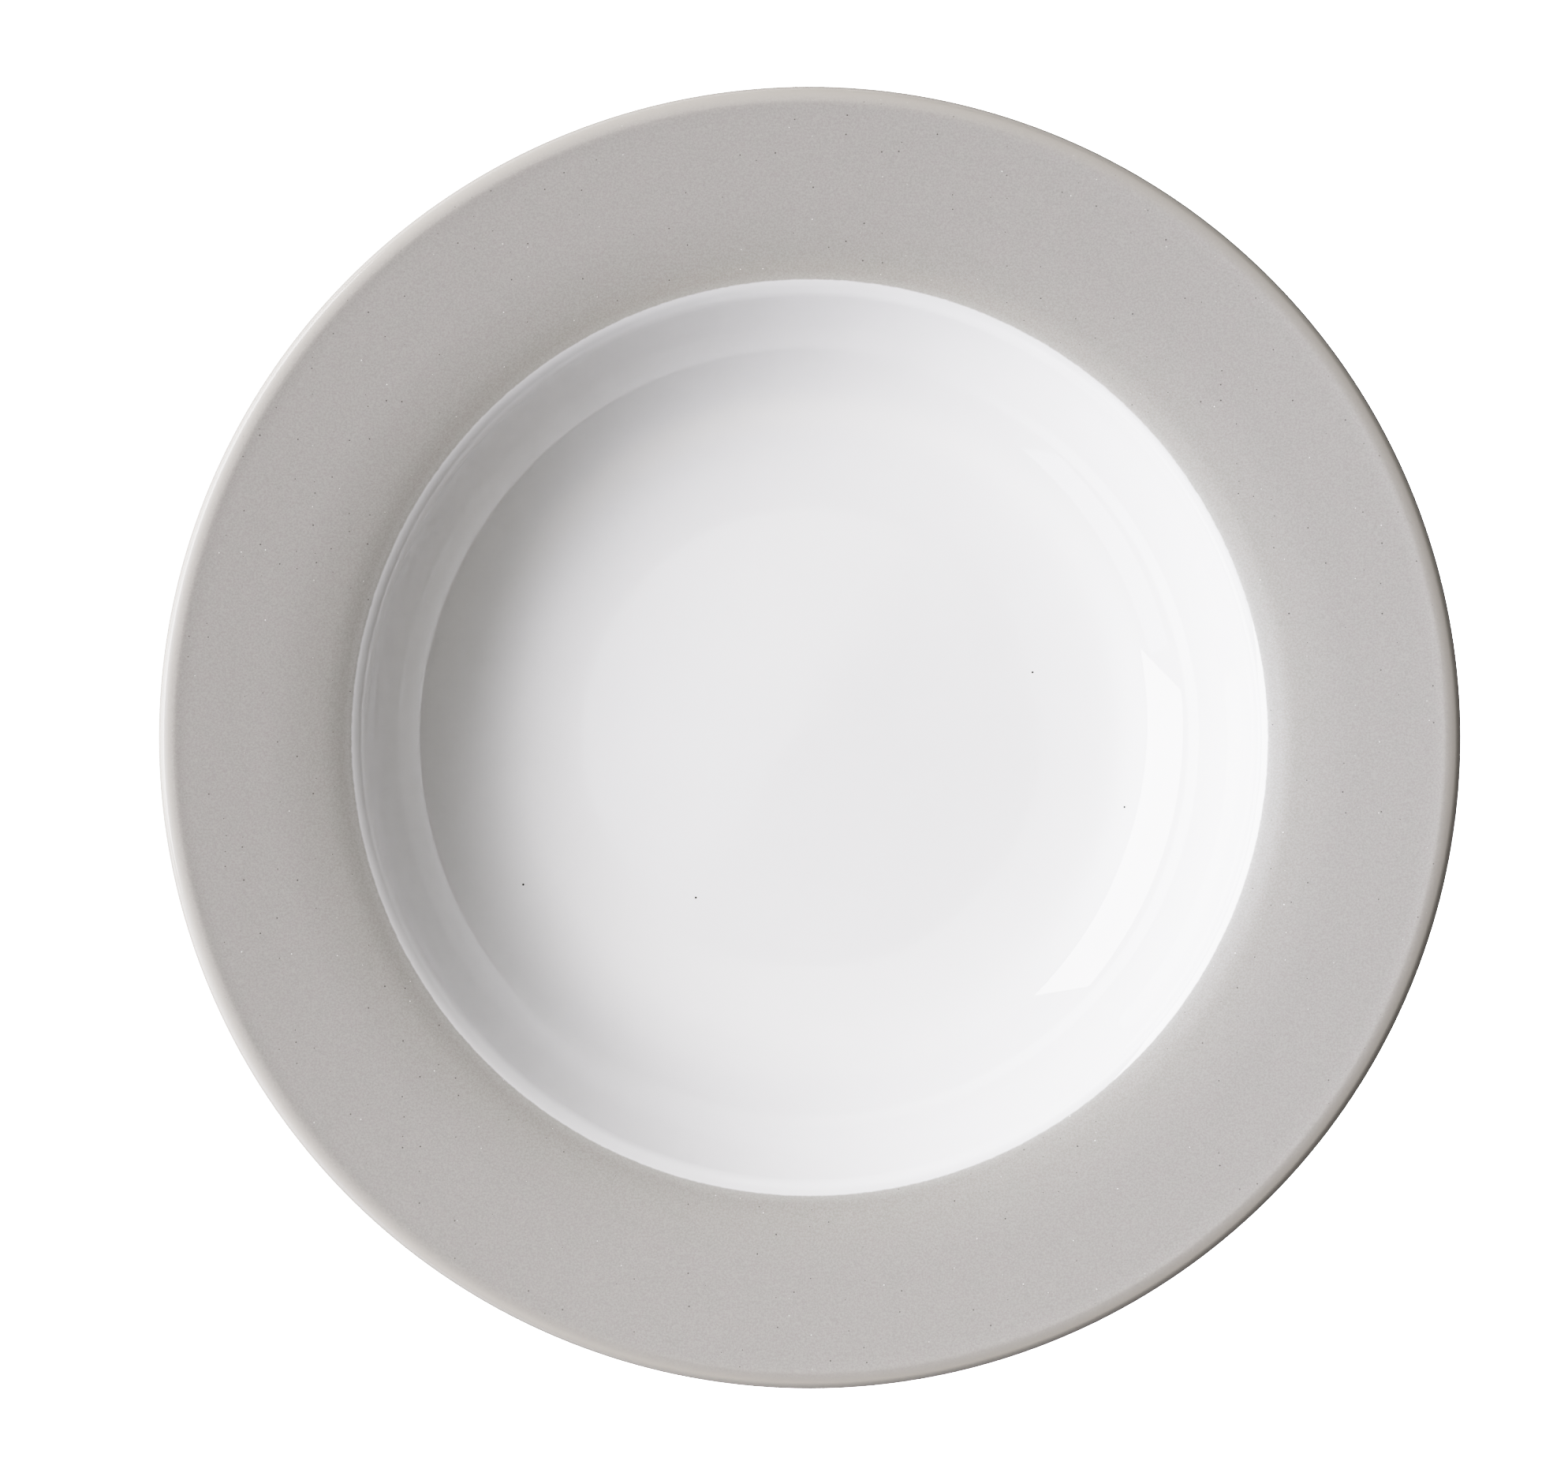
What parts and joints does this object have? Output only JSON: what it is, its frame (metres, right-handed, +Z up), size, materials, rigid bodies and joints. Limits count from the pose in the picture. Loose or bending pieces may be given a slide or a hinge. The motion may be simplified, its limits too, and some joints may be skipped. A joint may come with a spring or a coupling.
{
  "type": "rimmed soup plate",
  "caption": "Round deep plate with a wide, gently rising grey glazed rim, a white glazed well and an unglazed foot ring.",
  "frame": {"origin": "centre of the foot ring's bearing face, where the plate stands on the table", "axes": "+Z up along the plate's turning axis; the plate is round, so +X and +Y are any two level directions"},
  "size_m": [0.22, 0.22, 0.037],
  "materials": {
    "bare_clay": "matt fired clay, fine grain",
    "grey_glaze": "warm light grey gloss glaze with fine specks, thinning to cream over the lip",
    "white_glaze": "white gloss glaze"
  },
  "bodies": {
    "root": {"clay_body": "bare_clay", "rim_glaze": "grey_glaze", "well_glaze": "white_glaze", "underside_glaze": "white_glaze", "foot_recess_glaze": "white_glaze"}
  },
  "joints": []
}
